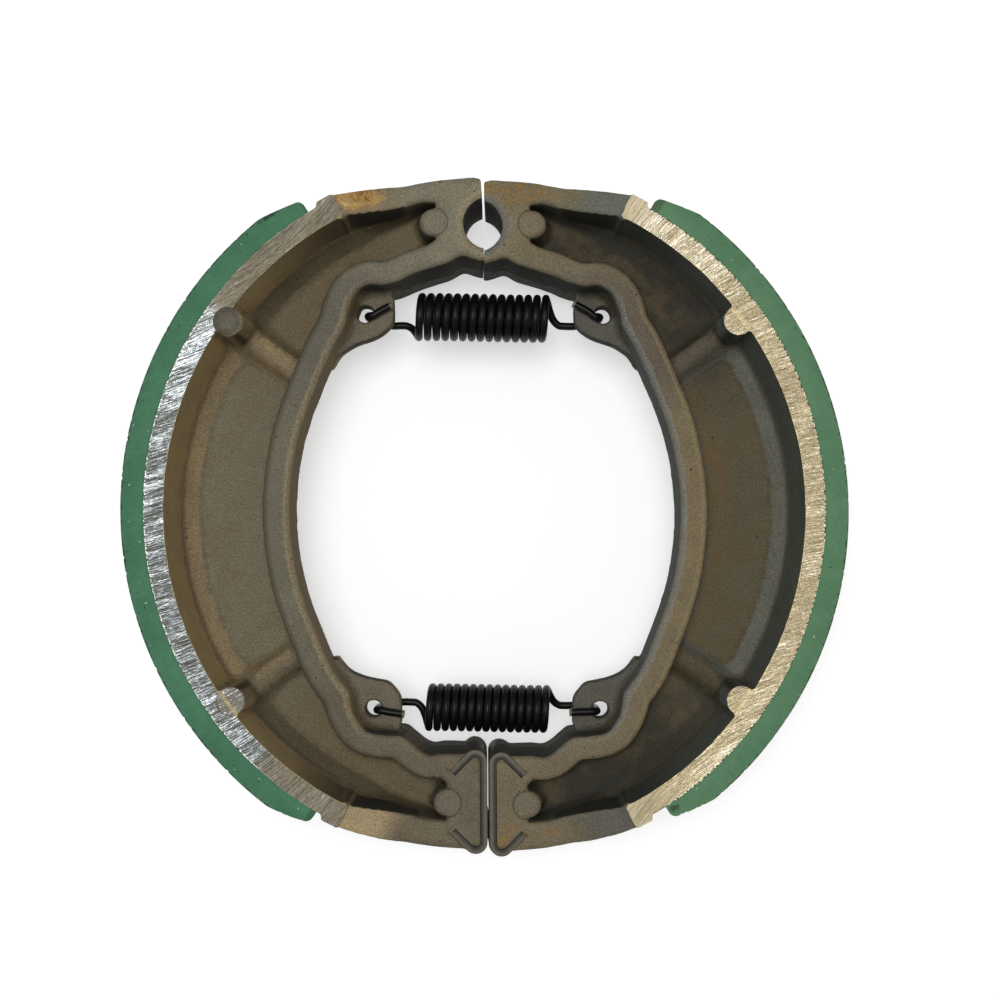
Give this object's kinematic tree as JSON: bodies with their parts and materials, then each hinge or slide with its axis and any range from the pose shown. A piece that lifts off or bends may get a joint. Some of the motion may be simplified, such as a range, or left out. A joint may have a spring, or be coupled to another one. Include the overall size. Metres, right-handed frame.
{
  "type": "drum brake shoe set",
  "caption": "Pair of cast aluminium drum brake shoes with bonded linings, steel cam plates and hooked return springs, closed up face to face.",
  "frame": {"origin": "drum axis, in the plane of the back machined edges that the set lies on", "axes": "+Z along the drum axis towards the front machined edges, +Y towards the anchor pin, +X towards the right shoe"},
  "size_m": [0.1262, 0.1205, 0.028],
  "materials": {
    "casting": "as cast, grey brown, with machined table edges",
    "lining": "dull green moulded friction material",
    "cam_plate": "dark bent steel strip",
    "spring": "glossy black spring wire"
  },
  "bodies": {
    "left_half": {"left_shoe": "casting", "left_lining": "lining", "left_cam_plate": "cam_plate", "upper_spring": "spring", "lower_spring": "spring"},
    "right_half": {"right_shoe": "casting", "right_lining": "lining", "right_cam_plate": "cam_plate"}
  },
  "joints": [
    {"name": "anchor_hinge", "type": "hinge", "parent": "left_half", "child": "right_half", "pos_m": [0, 0.0513, 0.014], "axis": [0, 0, 1], "range_deg": [0, 3.5], "stiffness_Nm_per_rad": 60, "springref_deg": -1.72, "deforming": ["upper_spring", "lower_spring"]}
  ]
}
